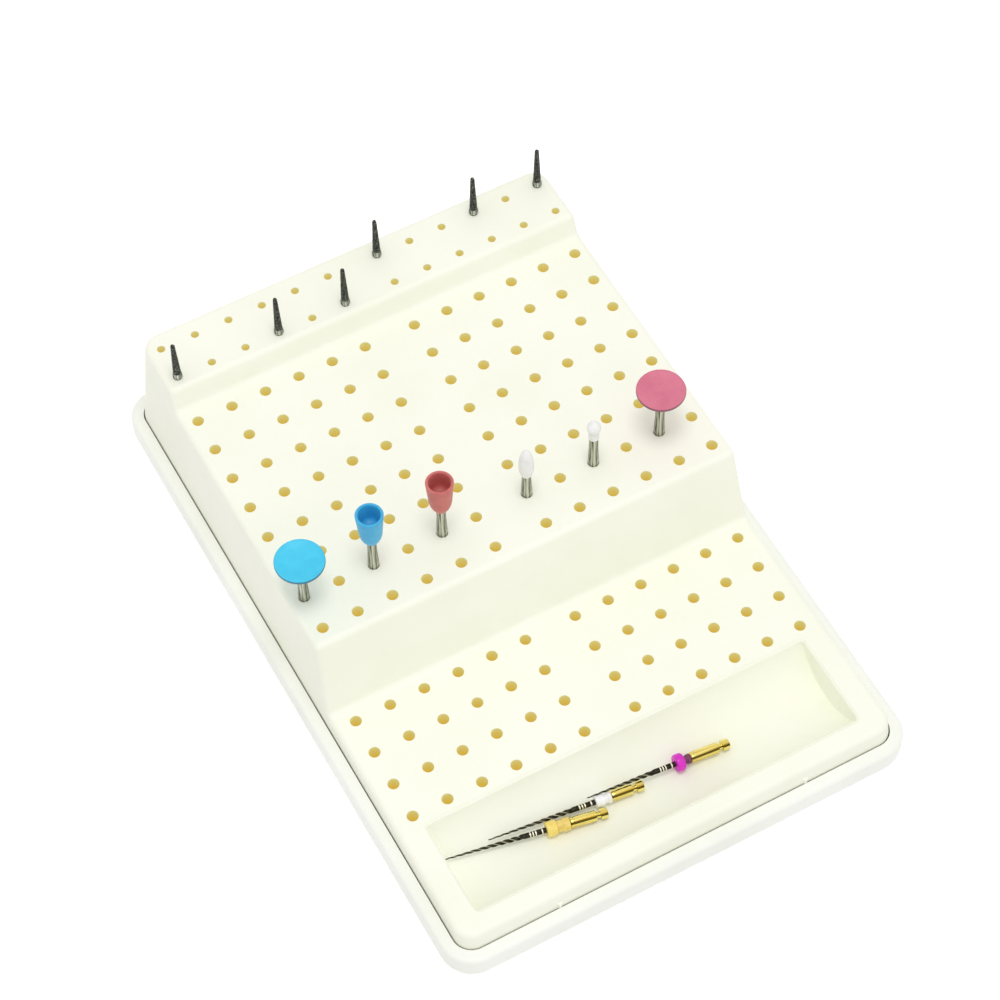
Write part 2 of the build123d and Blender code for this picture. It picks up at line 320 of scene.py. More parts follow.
class Effects:
    """Builds the node group of each effect once."""

    @cache
    def group(self, effect: Effect) -> bpy.types.NodeTree:
        """The node group of an effect.

        Args:
            effect: Which effect.

        Returns:
            Its group, which every material shares.
        """
        group = Group(effect.value, "Shader")
        getattr(self, "_" + effect.name.lower())(group)
        return group.tree

    @staticmethod
    def _object_mm(wires: Wiring) -> Socket:
        """Object coordinates in millimetres."""
        place = wires.add("ShaderNodeTexCoord").outputs["Object"]
        return wires.result("ShaderNodeVectorMath", {0: place, 3: 1 / MM}, operation="SCALE")

    @staticmethod
    def _fine(wires: Group) -> Socket:
        """A texture's scale from the group's size input, which is in millimetres."""
        return wires.math("DIVIDE", 1.0, *wires.ask("Size"))

    def _mottle(self, wires: Group) -> None:
        """Broad soft patches, from zero to one."""
        patch = wires.noise(self._object_mm(wires), self._fine(wires), 4.0, 0.55)
        wires.give("Tone", wires.spread(patch, 0.3, 0.7))

    def _peel(self, wires: Group) -> None:
        """The faint orange peel of a moulded skin, as a height."""
        finer, share = 5.3, 0.35
        where, scale = self._object_mm(wires), self._fine(wires)
        fine = wires.noise(where, wires.times(scale, finer), 3.0)
        wires.give("Height", wires.math("MULTIPLY_ADD", fine, share, wires.noise(where, scale, 2.0)))

    def _streaks(self, wires: Group) -> None:
        """Lengthwise streaks on a turned piece, from zero to one: grinding streaks, and painted reflections
        of the surroundings.
        """
        fineness, length = wires.ask("Fineness", "Length")
        x, y, z = wires.parts(wires.stored("turned", "Vector"))
        along = wires.math("DIVIDE", z, length)
        where = wires.vector(wires.times(x, fineness), wires.times(y, fineness), along)
        wires.give("Tone", wires.spread(wires.noise(where, 1.0, 5.0, 0.6), 0.32, 0.68))

    def _stripe(self, wires: Group) -> None:
        """The mask of a painted reflection, a soft band along a turned piece. Its side and its width are
        angles in degrees.
        """
        angle, width = wires.ask("Angle", "Width")
        side = wires.math("RADIANS", angle)
        half = wires.math("RADIANS", wires.math("DIVIDE", width, 2.0))
        x, y, _ = wires.parts(wires.stored("turned", "Vector"))
        across = wires.times(x, wires.math("COSINE", side))
        facing = wires.math("ADD", across, wires.times(y, wires.math("SINE", side)))
        edge = wires.math("COSINE", half)
        share = wires.math("DIVIDE", wires.math("SUBTRACT", facing, edge), wires.math("SUBTRACT", 1.0, edge))
        wires.give("Mask", wires.spread(share, 0.0, 0.5))

    def _rings(self, wires: Group) -> None:
        """Fine turning marks round a piece, as a height."""
        waver = 0.15
        (spacing,) = wires.ask("Size")
        x, y, z = wires.parts(wires.stored("turned", "Vector"))
        where = wires.vector(wires.times(x, waver), wires.times(y, waver), wires.math("DIVIDE", z, spacing))
        wires.give("Height", wires.noise(where, 1.0, 2.0))

    def _grains(self, wires: Group) -> None:
        """Packed grains: a tone for each and a rounded height."""
        feeds = {"Vector": self._object_mm(wires), "Scale": self._fine(wires)}
        cells = wires.add("ShaderNodeTexVoronoi", feeds)
        wires.give("Tone", wires.result("ShaderNodeSeparateColor", {0: cells.outputs["Color"]}))
        wires.give("Height", wires.spread(cells.outputs["Distance"], 0.0, 0.7, 1.0, 0.0))

    def _sockets(self, wires: Group) -> None:
        """How deep a point is in a socket, and whether it is in one at all."""
        slack, mouth = 0.07, (0.02, 0.3)
        (reach,) = wires.ask("Reach")
        x, y, z = wires.parts(self._object_mm(wires))
        first = GRID.column(GRID.columns // 2)
        across = self._to_nearest(wires, wires.math("SUBTRACT", wires.math("ABSOLUTE", x), first), GRID.pitch)
        mask: Any = 0.0
        share: Any = 0.0
        for deck in (GRID.top, GRID.middle, GRID.low):
            along = self._to_nearest(wires, wires.math("SUBTRACT", deck.back_row, y), GRID.row_pitch)
            squares = wires.math("ADD", wires.times(across, across), wires.times(along, along))
            near = wires.math("LESS_THAN", squares, (deck.hole + slack) ** 2)
            here = wires.math("GREATER_THAN", y, deck.front)
            here = wires.times(here, wires.math("LESS_THAN", y, deck.back))
            depth = wires.math("SUBTRACT", deck.height, z)
            mask = wires.math("ADD", mask, wires.times(near, here, wires.spread(depth, *mouth)))
            share = wires.math("ADD", share, wires.times(here, wires.math("DIVIDE", depth, reach)))
        wires.give("Mask", mask)
        wires.give("Depth", wires.spread(share, 0.0, 1.0))

    @staticmethod
    def _to_nearest(wires: Wiring, value: Socket, pitch: float) -> Socket:
        """Distance from the nearest multiple of a pitch."""
        turns = wires.math("FRACT", wires.math("ADD", wires.math("DIVIDE", value, pitch), 0.5))
        return wires.times(wires.math("SUBTRACT", turns, 0.5), pitch)


EFFECTS = Effects()


@dataclass(frozen=True)
class Relief:
    """How an effect's height embosses a surface.

    Attributes:
        effect: The effect.
        size: The effect's size, in millimetres.
        depth: How deep a height of one is, in millimetres.
        strength: How strongly it shows.
    """

    effect: Effect
    size: float
    depth: float
    strength: float


class Surface(Wiring):
    """A material under way, with the wiring of its shader."""

    def __init__(self, name: str) -> None:
        """Make the plain material.

        Args:
            name: Its name.
        """
        self.material = bpy.data.materials.new(name)
        self.material.use_nodes = True
        super().__init__(self.material.node_tree)
        self.shader = self.tree.nodes["Principled BSDF"]
        self.placed: dict[tuple, bpy.types.Node] = {}

    def paint(self, feeds: dict[str, Any]) -> None:
        """Feed the shader's inputs by their names."""
        for name, value in feeds.items():
            self.feed(self.shader.inputs[name], value)

    def effect(self, effect: Effect, output: str, **values: float) -> Socket:
        """One output of an effect, which is placed once for the same values.

        Args:
            effect: Which effect.
            output: The output's name.
            **values: The effect's inputs by name.

        Returns:
            The output's socket.
        """
        key = (effect, *values.values())
        if key not in self.placed:
            self.placed[key] = self.add("ShaderNodeGroup", values, node_tree=EFFECTS.group(effect))
        return self.placed[key].outputs[output]

    def emboss(self, relief: Relief) -> None:
        """Feed the shader's normal from an effect's height.

        Args:
            relief: The effect and how deep it goes.
        """
        height = self.effect(relief.effect, "Height", Size=relief.size)
        feeds = {"Strength": relief.strength, "Distance": relief.depth * MM, "Height": height}
        self.paint({"Normal": self.result("ShaderNodeBump", feeds)})


@dataclass(frozen=True)
class Finish:
    """A look that varies between two tones. Each kind of finish adds what is its own.

    Attributes:
        name: The material's name.
        light: The lighter of its two tones.
        dark: The darker of its two tones.
        roughness: The roughness of the lighter tone.
        rougher: How much rougher the darker tone is.
        metallic: One for metal.
        patch: The size of its soft patches, in millimetres.
        relief: What embosses it, if anything does.
        extras: Plain values for the shader's other inputs.
    """

    name: str
    light: Rgb
    dark: Rgb
    roughness: float
    rougher: float = 0.08
    metallic: float = 0.0
    patch: ClassVar[float] = 1.0
    relief: ClassVar[Relief | None] = None
    extras: ClassVar[dict[str, float]] = {}

    @cache
    def make(self) -> bpy.types.Material:
        """Build the material when it is first asked for.

        Returns:
            The finished material.
        """
        surface = Surface(self.name)
        surface.material.diffuse_color = solid(self.light)
        share = self.shade(surface)
        colour = surface.blend(share, solid(self.light), solid(self.dark))
        surface.paint({
            "Metallic": self.metallic,
            "Base Color": self.tint(surface, colour),
            "Roughness": surface.spread(share, 0, 1, self.roughness, self.roughness + self.rougher),
            **self.extras,
        })
        if self.relief:
            surface.emboss(self.relief)
        return surface.material

    def shade(self, surface: Surface) -> Socket:
        """How dark the surface is from place to place, from zero to one.

        Args:
            surface: The material under way.

        Returns:
            The share of the dark tone.
        """
        return surface.effect(Effect.MOTTLE, "Tone", Size=self.patch)

    def tint(self, surface: Surface, colour: Socket) -> Socket:
        """Change the colour where the kind of finish asks for it.

        Args:
            surface: The material under way.
            colour: The colour between the two tones.

        Returns:
            The colour to use.
        """
        return colour

    def grains(self, surface: Surface) -> Socket:
        """The tone of each grain of the relief."""
        return surface.effect(Effect.GRAINS, "Tone", Size=self.relief.size)


@dataclass(frozen=True)
class MouldedPlastic(Finish):
    """Opaque ivory plastic with painted light in its sockets: an ochre tint that changes with depth, and an
    emission that makes them look lit through the plastic.

    Attributes:
        socket_mouth_painted_tone: The painted ochre just inside a socket's mouth, light and shade painted
            into the colour.
        socket_floor_painted_tone: The painted ochre at a socket's floor, the same painted light and shade.
        reach: How deep in a socket the colour stops changing, in millimetres.
        painted_glow: How strongly the sockets emit their painted ochre, which stands in for light that comes
            through the thin plastic.
        sockets: Whether the piece has sockets.
    """

    socket_mouth_painted_tone: Rgb = (0.6, 0.5, 0.2)
    socket_floor_painted_tone: Rgb = (0.4, 0.3, 0.1)
    reach: float = 5.0
    painted_glow: float = 0.36
    sockets: bool = True
    patch = 22.0
    relief = Relief(Effect.PEEL, 0.7, 0.02, 0.35)
    extras = {"Specular IOR Level": 0.42}

    def tint(self, surface: Surface, colour: Socket) -> Socket:
        """Paint light into the sockets: an ochre tint that changes with depth, and an emission though they
        are no lamp.
        """
        if not self.sockets:
            return colour
        mask, depth = (surface.effect(Effect.SOCKETS, name, Reach=self.reach) for name in ("Mask", "Depth"))
        ochre = surface.blend(depth, solid(self.socket_mouth_painted_tone), solid(self.socket_floor_painted_tone))
        light = surface.blend(mask, solid((0.0, 0.0, 0.0)), ochre)
        # Painted light: the sockets emit ochre, as if lit through the plastic.
        surface.paint({"Emission Color": light, "Emission Strength": self.painted_glow})
        return surface.blend(mask, colour, ochre)


@dataclass(frozen=True)
class MouldedRubber(Finish):
    """Abrasive-filled rubber: dull, finely speckled, with a soft sheen.

    Attributes:
        rim: How far from the axis the painted shade on a disc's rim starts, in millimetres, or zero for none.
        rim_painted_shade: The colour of the painted shade on the rim.
    """

    rim: float = 0.0
    rim_painted_shade: Rgb = (0.1, 0.1, 0.1)
    patch = 3.2
    relief = Relief(Effect.GRAINS, 0.16, 0.015, 0.4)
    extras = {"Sheen Weight": 0.06, "Sheen Roughness": 0.4}

    def shade(self, surface: Surface) -> Socket:
        """Mix patches and filler grains."""
        speckle = 0.3
        patches = surface.times(super().shade(surface), 1 - speckle)
        return surface.math("MULTIPLY_ADD", self.grains(surface), speckle, patches)

    def tint(self, surface: Surface, colour: Socket) -> Socket:
        """Paint shade on the rim, where a disc's edge turns away from the light."""
        if not self.rim:
            return colour
        # Painted shade: the colour darkens towards the disc's edge.
        edge = surface.spread(surface.stored("out"), self.rim - 0.06, self.rim)
        return surface.blend(edge, colour, solid(self.rim_painted_shade))


@dataclass(frozen=True)
class SmoothSilicone(Finish):
    """Soft silicone, smooth and slightly glossy."""

    patch = 1.6
    relief = Relief(Effect.PEEL, 0.3, 0.01, 0.3)
    extras = {"Coat Weight": 0.12, "Coat Roughness": 0.25}


@dataclass(frozen=True)
class Lacquer(Finish):
    """A colour band's enamel over turned metal, under a clear coat."""

    patch = 1.1
    relief = Relief(Effect.RINGS, 0.2, 0.01, 0.2)
    extras = {"Coat Weight": 0.5, "Coat Roughness": 0.12}


@dataclass(frozen=True)
class FineStone(Finish):
    """White bonded abrasive with a sugary grain."""

    patch = 1.4
    relief = Relief(Effect.GRAINS, 0.1, 0.03, 0.6)

    def shade(self, surface: Surface) -> Socket:
        """Give every grain its own tone, darker in the patches."""
        return surface.times(self.grains(surface), surface.math("ADD", super().shade(surface), 0.3))


@dataclass(frozen=True)
class PlatedGrit(Finish):
    """Diamond grit held in plating: dark facets, with painted glints on a few.

    Attributes:
        painted_glint: The colour of the glints painted on a few facets.
    """

    painted_glint: Rgb = (0.4, 0.42, 0.38)
    relief = Relief(Effect.GRAINS, 0.11, 0.04, 0.8)

    def shade(self, surface: Surface) -> Socket:
        """Give every grain its own tone."""
        return self.grains(surface)

    def tint(self, surface: Surface, colour: Socket) -> Socket:
        """Paint glints on a few grains."""
        # Painted glint: the grains with the highest tones are brightened.
        return surface.blend(surface.spread(self.grains(surface), 0.86, 0.93), colour, solid(self.painted_glint))


@dataclass(frozen=True)
class GroundMetal(Finish):
    """Metal ground along its length, with faint turning marks and streaks that are partly grinding and partly
    painted reflections.

    Attributes:
        fineness: How fine the streaks are round the piece.
        streak: How long they are, in millimetres.
        reach: Which span of the streaks' tone goes from light to dark.
    """

    fineness: float = 3.0
    streak: float = 5.0
    reach: ClassVar[Point] = (0.2, 0.8)
    relief = Relief(Effect.RINGS, 0.15, 0.008, 0.3)

    def shade(self, surface: Surface) -> Socket:
        """Streak the tone with grinding streaks and painted reflections."""
        streaks = surface.effect(Effect.STREAKS, "Tone", Fineness=self.fineness, Length=self.streak)
        return surface.spread(streaks, *self.reach)


@dataclass(frozen=True)
class GiltMetal(GroundMetal):
    """Gilt brass, turned and polished, with a dark reflection painted along one side.

    Attributes:
        stripe: The angle and width of the dark reflection painted along it, in degrees.
        painted_reflection_tone: The painted reflection's colour.
    """

    fineness: float = 1.6
    streak: float = 14.0
    stripe: Point = (221.0, 30.0)
    painted_reflection_tone: Rgb = (0.1, 0.07, 0.01)
    reach = (0.3, 0.9)
    relief = Relief(Effect.RINGS, 0.1, 0.01, 0.25)

    def tint(self, surface: Surface, colour: Socket) -> Socket:
        """Paint a dark reflection along one side."""
        # Painted reflection: a fixed dark band round one side of the handle.
        stripe = surface.effect(Effect.STRIPE, "Mask", Angle=self.stripe[0], Width=self.stripe[1])
        return surface.blend(stripe, colour, solid(self.painted_reflection_tone))


@dataclass(frozen=True)
class FlutedSteel(Finish):
    """Heat-treated blade steel: dark, with painted highlights on the cutting edges and bright depth marks.

    Attributes:
        edge: The colour of the painted highlights on the cutting edges.
        mark: The colour of the depth marks.
        marks: Where the depth marks are, measured along the blade from its tip.
        mark_width: How wide a mark is.
    """

    edge: Rgb = (0.5, 0.5, 0.45)
    mark: Rgb = (0.9, 0.9, 0.85)
    marks: tuple[float, ...] = ()
    mark_width: float = 0.35
    patch = 0.7

    def tint(self, surface: Surface, colour: Socket) -> Socket:
        """Paint highlights on the ridges and draw the depth marks."""
        # Painted highlight: the ridges of the flutes are brightened.
        ridge = surface.spread(surface.stored("ridge"), 0.78, 0.97)
        along = surface.stored("along")
        marked: Any = 0.0
        for place in self.marks:
            away = surface.math("ABSOLUTE", surface.math("SUBTRACT", along, place))
            marked = surface.math("ADD", marked, surface.math("LESS_THAN", away, self.mark_width / 2))
        return surface.blend(marked, surface.blend(ridge, colour, solid(self.edge)), solid(self.mark))


@dataclass(frozen=True)
class Palette:
    """Every finish on the block."""

    rack: Finish = MouldedPlastic(
        "ivory_rack", tone(251, 252, 238), tone(247, 248, 231), 0.4,
        # The rack's two socket tones are painted light and shade in its sockets.
        socket_mouth_painted_tone=tone(204, 198, 140), socket_floor_painted_tone=tone(211, 188, 80),
    )
    tray: Finish = MouldedPlastic(
        "ivory_tray", tone(249, 250, 243), tone(243, 245, 236), 0.34, sockets=False
    )
    # The steels' dark tones are partly painted reflections in their streaks, partly grinding marks.
    steel: Finish = GroundMetal(
        "ground_steel", tone(210, 212, 194), tone(66, 68, 56), 0.2, 0.1, 1.0, 2.1, 14.0
    )
    bur_steel: Finish = GroundMetal(
        "bur_steel", tone(200, 206, 194), tone(52, 56, 50), 0.2, 0.12, 1.0, 2.2, 3.0
    )
    bond: Finish = PlatedGrit("plated_bond", tone(58, 61, 54), tone(22, 24, 20), 0.42, 0.2, 0.7)
    grit: Finish = PlatedGrit("diamond_grit", tone(74, 78, 70), tone(22, 24, 20), 0.34, 0.2, 0.6)
    blue: Finish = MouldedRubber(
        # The discs' rim tones are painted shade on their edges.
        "blue_rubber", tone(68, 208, 241), tone(54, 192, 232), 0.42, rim=5.2, rim_painted_shade=tone(46, 122, 150)
    )
    blue_cup: Finish = MouldedRubber("blue_cup_rubber", tone(70, 184, 228), tone(46, 164, 216), 0.42)
    terracotta: Finish = MouldedRubber("terracotta_rubber", tone(210, 118, 112), tone(190, 92, 88), 0.46)
    pink: Finish = MouldedRubber(
        "pink_rubber", tone(222, 124, 148), tone(206, 106, 131), 0.42, rim=5.2, rim_painted_shade=tone(140, 80, 100)
    )
    stone: Finish = FineStone("white_stone", tone(248, 248, 246), tone(232, 232, 230), 0.6)
    gilt: Finish = GiltMetal("gilt_brass", tone(250, 234, 142), tone(196, 160, 52), 0.14, 0.08, 1.0)


PALETTE = Palette()


def dress(mesh: bpy.types.Mesh, *finishes: Finish) -> None:
    """Give a mesh its materials in place of any that it has.

    Args:
        mesh: The mesh.
        *finishes: The finish of each of its material slots.
    """
    mesh.materials.clear()
    for finish in finishes:
        mesh.materials.append(finish.make())


def enter(name: str, data: Any) -> bpy.types.Object:
    """Put a mesh, a lamp or a camera into the scene.

    Args:
        name: The object's name.
        data: What it shows.

    Returns:
        The object.
    """
    made = bpy.data.objects.new(name, data)
    bpy.context.scene.collection.objects.link(made)
    return made


def smooth(mesh: bpy.types.Mesh) -> bpy.types.Mesh:
    """Shade a mesh smooth up to the angle where an edge is sharp."""
    mesh.shade_smooth()
    mesh.set_sharp_from_angle(angle=SHARP)
    return mesh


def soften(points: Iterable[Point], reach: float, steps: int = 4) -> list[Point]:
    """Round the inner corners of an outline.

    Args:
        points: The outline's corners.
        reach: How far from a corner its rounding starts, at most.
        steps: How many pieces each rounding has.

    Returns:
        The rounded outline.
    """
    most = 0.45
    corners = [Vector(point) for point in points]
    made = [corners[0]]
    for before, corner, after in zip(corners, corners[1:], corners[2:]):
        cut = min(reach, (before - corner).length * most, (after - corner).length * most)
        start = corner + (before - corner).normalized() * cut
        end = corner + (after - corner).normalized() * cut
        for step in range(steps + 1):
            share = step / steps
            made.append(start * (1 - share) ** 2 + corner * 2 * share * (1 - share) + end * share**2)
    made.append(corners[-1])
    return [(point.x, point.y) for point in made]


def nose(radius: float, centre: float, start: float, steps: int) -> list[Point]:
    """A ball's outline from an angle up to its pole.

    Args:
        radius: The ball's radius.
        centre: The height of its centre.
        start: The angle above its equator where the outline starts, in radians.
        steps: How many pieces it has.

    Returns:
        The outline.
    """
    angles = [start + (math.pi / 2 - start) * step / steps for step in range(steps + 1)]
    side = [(radius * math.cos(angle), centre + radius * math.sin(angle)) for angle in angles]
    return side[:-1] + [(0.0, side[-1][1])]


@dataclass
class Turning:
    """A shape turned about Z from an outline of radius and height, in millimetres.

    Attributes:
        outline: The outline from the foot to the top, or round a ring.
        segments: How many sides it is turned with.
        ring: Whether the outline closes on itself round a hole.
        flat: A flat cut along one side, as its lowest height, highest height and distance from the axis.
    """

    outline: list[Point]
    segments: int = 56
    ring: bool = False
    flat: tuple[float, float, float] | None = None

    def mesh(self, name: str) -> bpy.types.Mesh:
        """Turn the outline into a closed mesh that carries where each point is round, along and out from it.

        Args:
            name: The mesh's name.

        Returns:
            The mesh, in millimetres.
        """
        shape = bmesh.new()
        out = shape.verts.layers.float.new("out")
        turned = shape.verts.layers.float_vector.new("turned")
        rows = [self._row(shape, turned, radius, height) for radius, height in self.outline]
        for point in shape.verts:
            point[out] = point.co.xy.length
        if self.ring:
            rows.append(rows[0])
        for lower, upper in zip(rows, rows[1:]):
            self._band(shape, lower, upper)
        bmesh.ops.recalc_face_normals(shape, faces=shape.faces)
        made = bpy.data.meshes.new(name)
        shape.to_mesh(made)
        shape.free()
        return smooth(made)

    def _row(self, shape: bmesh.types.BMesh, turned: Any, radius: float, height: float) -> list:
        """One ring of points, or a single point on the axis."""
        if radius < 1e-6:
            pole = shape.verts.new((0, 0, height))
            pole[turned] = (0, 0, height)
            return [pole]
        row = []
        for index in range(self.segments):
            angle = math.tau * index / self.segments
            x, y = radius * math.cos(angle), radius * math.sin(angle)
            if self.flat and self.flat[0] <= height <= self.flat[1]:
                x = min(x, self.flat[2])
            row.append(shape.verts.new((x, y, height)))
            row[-1][turned] = (math.cos(angle), math.sin(angle), height)
        return row

    @staticmethod
    def _band(shape: bmesh.types.BMesh, lower: list, upper: list) -> None:
        """The faces between two rows."""
        count = max(len(lower), len(upper))
        for index in range(count):
            following = (index + 1) % count
            if len(lower) == 1:
                shape.faces.new((lower[0], upper[following], upper[index]))
            elif len(upper) == 1:
                shape.faces.new((lower[index], lower[following], upper[0]))
            else:
                shape.faces.new((lower[index], lower[following], upper[following], upper[index]))


class NodeShape(Group):
    """A Geometry Nodes tree with named inputs that is run once and leaves a plain mesh."""

    def __init__(self, name: str) -> None:
        """Make the tree with its geometry input.

        Args:
            name: The tree's name.
        """
        super().__init__(name, "Geometry")
        (self.base,) = self.ask("Geometry", kind="Geometry")

    def close(self, geometry: Socket, material: Socket) -> None:
        """Realize what the tree made, set its material and put it out.

        Args:
            geometry: What was made.
            material: The material to set.
        """
        real = self.result("GeometryNodeRealizeInstances", {0: geometry})
        dressed = self.result("GeometryNodeSetMaterial", {0: real, "Material": material})
        self.give("Geometry", dressed, "Geometry")

    def run(self, base: bpy.types.Mesh, values: dict[str, Any]) -> bpy.types.Mesh:
        """Run the tree on a mesh.

        Args:
            base: The mesh that goes in.
            values: The named inputs' values.

        Returns:
            The new plain mesh.
        """
        holder = enter(base.name + "_run", base)
        modifier = holder.modifiers.new(self.tree.name, "NODES")
        modifier.node_group = self.tree
        for name, value in values.items():
            modifier[self.names[name]] = value
        graph = bpy.context.evaluated_depsgraph_get()
        made = bpy.data.meshes.new_from_object(
            holder.evaluated_get(graph), preserve_all_data_layers=True, depsgraph=graph
        )
        holder.modifiers.clear()
        bpy.data.objects.remove(holder)
        return made


class GritCrust(NodeShape):
    """Scatters grains of diamond over the coated length of a bur."""

    def __init__(self) -> None:
        """Build the tree."""
        super().__init__("grit_crust")
        low, high, density, size = self.ask("Lowest", "Highest", "Grains per square mm", "Grain radius")
        (seed,), (material,) = self.ask("Seed", kind="Int"), self.ask("Finish", kind="Material")
        height = self.parts(self.result("GeometryNodeInputPosition"))[2]
        coated = self.times(self.math("GREATER_THAN", height, low), self.math("LESS_THAN", height, high))
        feeds = {"Mesh": self.base, "Selection": coated, "Density": density, "Seed": seed}
        points = self.add("GeometryNodeDistributePointsOnFaces", feeds)
        grain = self.result("GeometryNodeMeshIcoSphere", {"Radius": size, "Subdivisions": 1})
        scale = self._draw((0.6, 0.6, 0.4), (1.3, 1.1, 0.8), {"Seed": seed})
        turn = self.result("FunctionNodeEulerToRotation", {0: self._draw((0, 0, 0), (6.28, 6.28, 6.28), {})})
        feeds = {0: points.outputs["Rotation"], 1: turn}
        spun = self.result("FunctionNodeRotateRotation", feeds, rotation_space="LOCAL")
        feeds = {"Points": points.outputs[0], "Instance": grain, "Rotation": spun, "Scale": scale}
        self.close(self.result("GeometryNodeInstanceOnPoints", feeds), material)

    def _draw(self, least: tuple, most: tuple, more: dict[str, Socket]) -> Socket:
        """Draw a vector by chance for each point, from the least to the most."""
        return self.result("FunctionNodeRandomValue", {0: least, 1: most, **more}, data_type="FLOAT_VECTOR")


class FlutedBlade(NodeShape):
    """Sweeps a three-edged section up the Z axis, twisting and widening it from tip to root."""

    edges: ClassVar[float] = 3.0
    runout: ClassVar[float] = 1.6

    def __init__(self) -> None:
        """Build the tree."""
        super().__init__("fluted_blade")
        fluted, length, tip, root, pitch, depth = self.ask(
            "Fluted length", "Whole length", "Tip radius", "Root radius", "Flute pitch", "Flute depth"
        )
        steps, sides = self.ask("Steps", "Sides", kind="Int")
        (material,) = self.ask("Finish", kind="Material")
        x, y, z = self.parts(self.result("GeometryNodeInputPosition"))
        angle = self.math("ARCTAN2", y, x)
        share = self.math("MINIMUM", self.math("DIVIDE", z, fluted), 1.0)
        radius = self.math("MULTIPLY_ADD", share, self.math("SUBTRACT", root, tip), tip)
        twist = self.math("DIVIDE", self.times(self.math("MINIMUM", z, fluted), math.tau), pitch)
        wave = self.math("COSINE", self.times(self.math("SUBTRACT", angle, twist), self.edges))
        ridge = self.math("MULTIPLY_ADD", wave, 0.5, 0.5)
        left = self.math("DIVIDE", self.math("SUBTRACT", fluted, z), self.runout)
        left = self.math("MINIMUM", self.math("MAXIMUM", left, 0.0), 1.0)
        cut = self.times(depth, left, self.math("SUBTRACT", 1.0, ridge))
        size = self.times(radius, self.math("SUBTRACT", 1.0, cut))
        place = [self.times(size, self.math(side, angle)) for side in ("COSINE", "SINE")]
        marked = self._tube(length, steps, sides)
        for name, value in (("ridge", self.times(ridge, left)), ("along", z)):
            feeds = {"Geometry": marked, "Name": name, "Value": value}
            marked = self.result("GeometryNodeStoreNamedAttribute", feeds, data_type="FLOAT", domain="POINT")
        feeds = {"Geometry": marked, "Position": self.vector(*place, z)}
        self.close(self.result("GeometryNodeSetPosition", feeds), material)

    def _tube(self, length: Socket, steps: Socket, sides: Socket) -> Socket:
        """A round rod of radius one from the origin up the Z axis."""
        spine = self.result("GeometryNodeCurvePrimitiveLine", {"End": self.vector(0.0, 0.0, length)})
        spine = self.result("GeometryNodeResampleCurve", {"Curve": spine, "Count": steps})
        section = self.result("GeometryNodeCurvePrimitiveCircle", {"Resolution": sides, "Radius": 1.0})
        feeds = {"Curve": spine, "Profile Curve": section, "Fill Caps": True}
        return self.result("GeometryNodeCurveToMesh", feeds)


def settle(mesh: bpy.types.Mesh, name: str, place: Matrix, node: str, slot: str, *finishes: Finish) -> None:
    """Put a mesh that is in millimetres in its place as a piece that stands for a CAD node.

    Args:
        mesh: The mesh about its own axis.
        name: The piece's name.
        place: Where the axis stands, in millimetres.
        node: The CAD node that the piece stands for.
        slot: The record's material slot; not used.
        *finishes: Its finishes, if the mesh has none yet.
    """
    mesh.transform(Matrix.Scale(MM, 4) @ place)
    mesh.name = name
    if finishes:
        dress(mesh, *finishes)
    piece = enter(name, mesh)
    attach(piece, ROOT)
    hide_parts(node)
    LOG.info("%s: %d faces", name, len(mesh.polygons))


def finish_mouldings() -> None:
    """Give the rack and its tray, which keep their CAD shapes, their finishes."""
    for node, finish in (("bur_rack", PALETTE.rack), ("base_tray", PALETTE.tray)):
        dress(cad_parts[node].data, finish)
        LOG.info("%s: CAD mesh with %s", node, finish.name)


@dataclass
class DiamondBurs:
    """The friction grip burs on the top deck, in millimetres.

    Attributes:
        standing: Column, row and height of each bur.
    """

    standing: tuple[tuple[int, int, float], ...] = (
        (0, 1, 11.4), (3, 1, 12.0), (5, 1, 12.0), (6, 0, 12.0), (9, 0, 12.0), (11, 0, 12.0),
    )
    shank: float = 0.8
    depth: float = 10.0
    collar: float = 1.05
    collar_foot: float = 0.3
    collar_top: float = 1.2
    head_foot: float = 1.7
    foot: float = 0.835
    tip: float = 0.435
    grain: float = 0.075
    density: float = 26.0

    def outline(self, height: float) -> list[Point]:
        """The bur's turned outline, from the end of its shank to its tip."""
        shank, collar, foot, tip = self.shank, self.collar, self.foot, self.tip
        crown = height - tip - 0.04
        side = [
            (0.0, -self.depth), (shank - 0.15, -self.depth), (shank, -self.depth + 0.15),
            (shank, self.collar_foot), (collar - 0.12, self.collar_foot), (collar, self.collar_foot + 0.14),
            (collar, 0.66), (collar - 0.1, 0.74), (collar - 0.1, 0.86), (collar - 0.02, 0.94),
            (collar - 0.04, self.collar_top), (foot - 0.06, 1.5), (foot - 0.06, self.head_foot - 0.08),
            (foot, self.head_foot),
        ]
        steps = 14
        for share in (step / steps for step in range(1, steps)):
            side.append((foot + (tip - foot) * share, self.head_foot + (crown - self.head_foot) * share))
        return side + nose(tip, crown, 0.0, 8)

    def build(self) -> None:
        """Turn each bur and cover its head with grit."""
        crust = GritCrust()
        for number, (column, row, height) in enumerate(self.standing, start=1):
            node = f"diamond_bur_{number}"
            place = GRID.place(GRID.top, column, row)
            core = Turning(self.outline(height), 40).mesh(node)
            grains = crust.run(core.copy(), {
                "Lowest": self.head_foot + 0.02,
                "Highest": height - 0.06,
                "Grains per square mm": self.density,
                "Grain radius": self.grain,
                "Seed": 11 * number,
                "Finish": PALETTE.grit.make(),
            })
            dress(core, PALETTE.bur_steel, PALETTE.bond)
            for face in core.polygons:
                face.material_index = int(face.center.z > self.head_foot)
            settle(core, f"{node}_core", place, node, "diamond_grit")
            settle(grains, f"{node}_grit", place, node, "diamond_grit")


